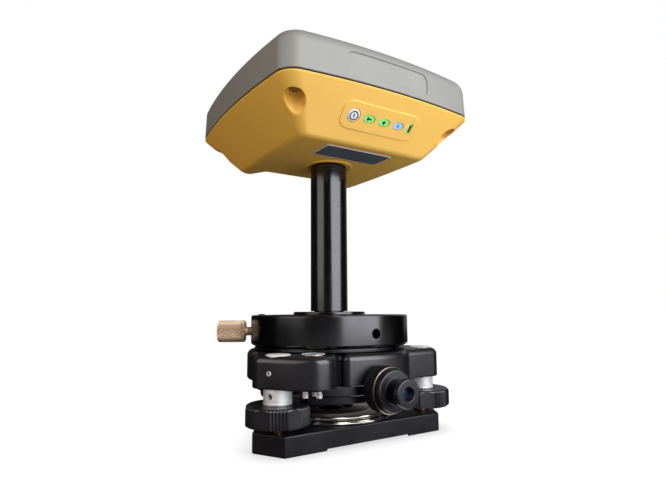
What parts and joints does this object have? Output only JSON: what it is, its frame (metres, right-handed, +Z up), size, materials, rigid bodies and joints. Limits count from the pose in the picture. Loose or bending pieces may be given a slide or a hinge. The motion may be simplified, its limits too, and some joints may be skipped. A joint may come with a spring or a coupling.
{
  "type": "gnss receiver",
  "caption": "Satellite positioning receiver with sloped housing and domed cover, on a pole, a rotating clamp adapter and a three-screw levelling base with an optical plummet.",
  "frame": {"origin": "bottom centre of the base plate's pads, on the plumb axis", "axes": "+Z up the plumb axis, -Y towards the receiver's panel and the plummet's eyepiece"},
  "size_m": [0.15, 0.1619, 0.2444],
  "materials": {
    "black_paint": "satin black paint on castings",
    "black_anodised": "black anodised, turned",
    "bright_metal": "bright turned",
    "steel": "polished",
    "brass": "knurled, satin",
    "bronze": "plain bearing bronze",
    "grey_plastic": "fine grain",
    "yellow_plastic": "fine grain",
    "seal_rubber": "matt",
    "button_plastic": "satin",
    "green_lens": "clear tinted",
    "blue_lens": "clear tinted",
    "optical_glass": "coated",
    "level_glass": "clear",
    "circuit_board": "solder mask",
    "ceramic": "ceramic",
    "battery_wrap": "wrapped cells"
  },
  "bodies": {
    "base": {"base_plate": "black_paint", "thread_insert": "brass", "spring_plate": "steel"},
    "housing": {"tribrach_housing": "black_paint", "bottom_cover": "black_paint", "foot_bush_front_left": "bright_metal", "foot_bush_front_right": "bright_metal", "foot_bush_back": "bright_metal", "foot_cap_front_left": "bright_metal", "foot_cap_front_right": "bright_metal", "foot_cap_back": "bright_metal", "level_case": "black_paint", "level_vial": "level_glass", "level_screw_1": "bright_metal", "level_screw_2": "bright_metal", "level_screw_3": "bright_metal", "plummet_barrel": "black_anodised", "plummet_prism": "optical_glass", "plummet_objective": "optical_glass", "adapter_base": "black_anodised"},
    "locking_plate": {"locking_plate": "steel"},
    "lock_knob": {"lock_knob": "black_paint"},
    "focus_ring": {"focus_ring": "black_paint"},
    "eyepiece": {"eyepiece": "black_anodised", "eyepiece_lens": "optical_glass"},
    "receiver_column": {"bearing_bush": "bronze", "adapter_body": "black_anodised", "adapter_stud": "steel", "grub_screw": "steel", "pole_base_flange": "black_anodised", "pole_tube": "black_anodised", "receiver_stud": "steel", "bottom_housing": "yellow_plastic", "top_cover": "grey_plastic", "parting_seal": "seal_rubber", "lens_left": "green_lens", "lens_middle": "green_lens", "lens_right": "blue_lens", "battery_window": "green_lens", "housing_screw_1": "steel", "housing_screw_2": "steel", "housing_screw_3": "steel", "housing_screw_4": "steel", "mount_insert": "brass", "battery_pack": "battery_wrap", "main_board": "circuit_board", "ground_plane": "bright_metal", "antenna_patch": "ceramic", "port_socket": "seal_rubber"},
    "clamp_screw": {"clamp_screw": "brass"},
    "power_button": {"power_button": "button_plastic"},
    "port_cap": {"port_cap": "seal_rubber"},
    "foot_screw_front_left": {"foot_knob_front_left": "black_paint", "foot_spindle_front_left": "steel"},
    "foot_screw_front_right": {"foot_knob_front_right": "black_paint", "foot_spindle_front_right": "steel"},
    "foot_screw_back": {"foot_knob_back": "black_paint", "foot_spindle_back": "steel"}
  },
  "joints": [
    {"name": "foot_screw_front_left_turn", "type": "hinge", "parent": "base", "child": "foot_screw_front_left", "pos_m": [-0.05395, -0.03115, 0], "axis": [0, 0, 1], "range_deg": [-1440.5, 1080.5]},
    {"name": "foot_screw_front_right_turn", "type": "hinge", "parent": "base", "child": "foot_screw_front_right", "pos_m": [0.05395, -0.03115, 0], "axis": [0, 0, 1], "range_deg": [-1440.5, 1080.5]},
    {"name": "foot_screw_back_turn", "type": "hinge", "parent": "base", "child": "foot_screw_back", "pos_m": [0, 0.0623, 0], "axis": [0, 0, 1], "range_deg": [-1440.5, 1080.5]},
    {"name": "housing_lift", "type": "slide", "parent": "base", "child": "housing", "axis": [0, 0, 1], "range_m": [-0.003, 0.004]},
    {"name": "lock_knob_turn", "type": "hinge", "parent": "housing", "child": "lock_knob", "pos_m": [0.04832, 0.0279, 0.0438], "axis": [0.866, 0.5, 0], "range_deg": [0, 120]},
    {"name": "locking_plate_turn", "type": "hinge", "parent": "housing", "child": "locking_plate", "pos_m": [0, 0, 0.045], "axis": [0, 0, 1], "range_deg": [-4.13, 0]},
    {"name": "focus_ring_turn", "type": "hinge", "parent": "housing", "child": "focus_ring", "pos_m": [0, -0.0622, 0.0335], "axis": [0, -1, 0], "range_deg": [-150, 150]},
    {"name": "eyepiece_turn", "type": "hinge", "parent": "housing", "child": "eyepiece", "pos_m": [0, -0.0745, 0.0335], "axis": [0, -1, 0], "range_deg": [-180, 180]},
    {"name": "adapter_swivel", "type": "hinge", "parent": "housing", "child": "receiver_column", "pos_m": [0, 0, 0.066], "axis": [0, 0, 1], "continuous": true},
    {"name": "clamp_screw_turn", "type": "hinge", "parent": "receiver_column", "child": "clamp_screw", "pos_m": [-0.04633, 0.02675, 0.065], "axis": [-0.866, 0.5, 0], "range_deg": [0, 720]},
    {"name": "power_button_press", "type": "slide", "parent": "receiver_column", "child": "power_button", "axis": [0, 0.6976, 0.7165], "range_m": [0, 0.0008], "stiffness_N_per_m": 1500, "springref_m": -0.0005},
    {"name": "port_cap_open", "type": "hinge", "parent": "receiver_column", "child": "port_cap", "pos_m": [0, 0.05812, 0.19731], "axis": [1, 0, 0], "range_deg": [0, 100]}
  ],
  "couplings": [
    {"joint": "foot_screw_front_left_turn", "follows": "housing_lift", "rad_per_m": -6283.2},
    {"joint": "foot_screw_front_right_turn", "follows": "housing_lift", "rad_per_m": -6283.2},
    {"joint": "foot_screw_back_turn", "follows": "housing_lift", "rad_per_m": -6283.2},
    {"joint": "locking_plate_turn", "follows": "lock_knob_turn", "ratio": -0.03429}
  ]
}
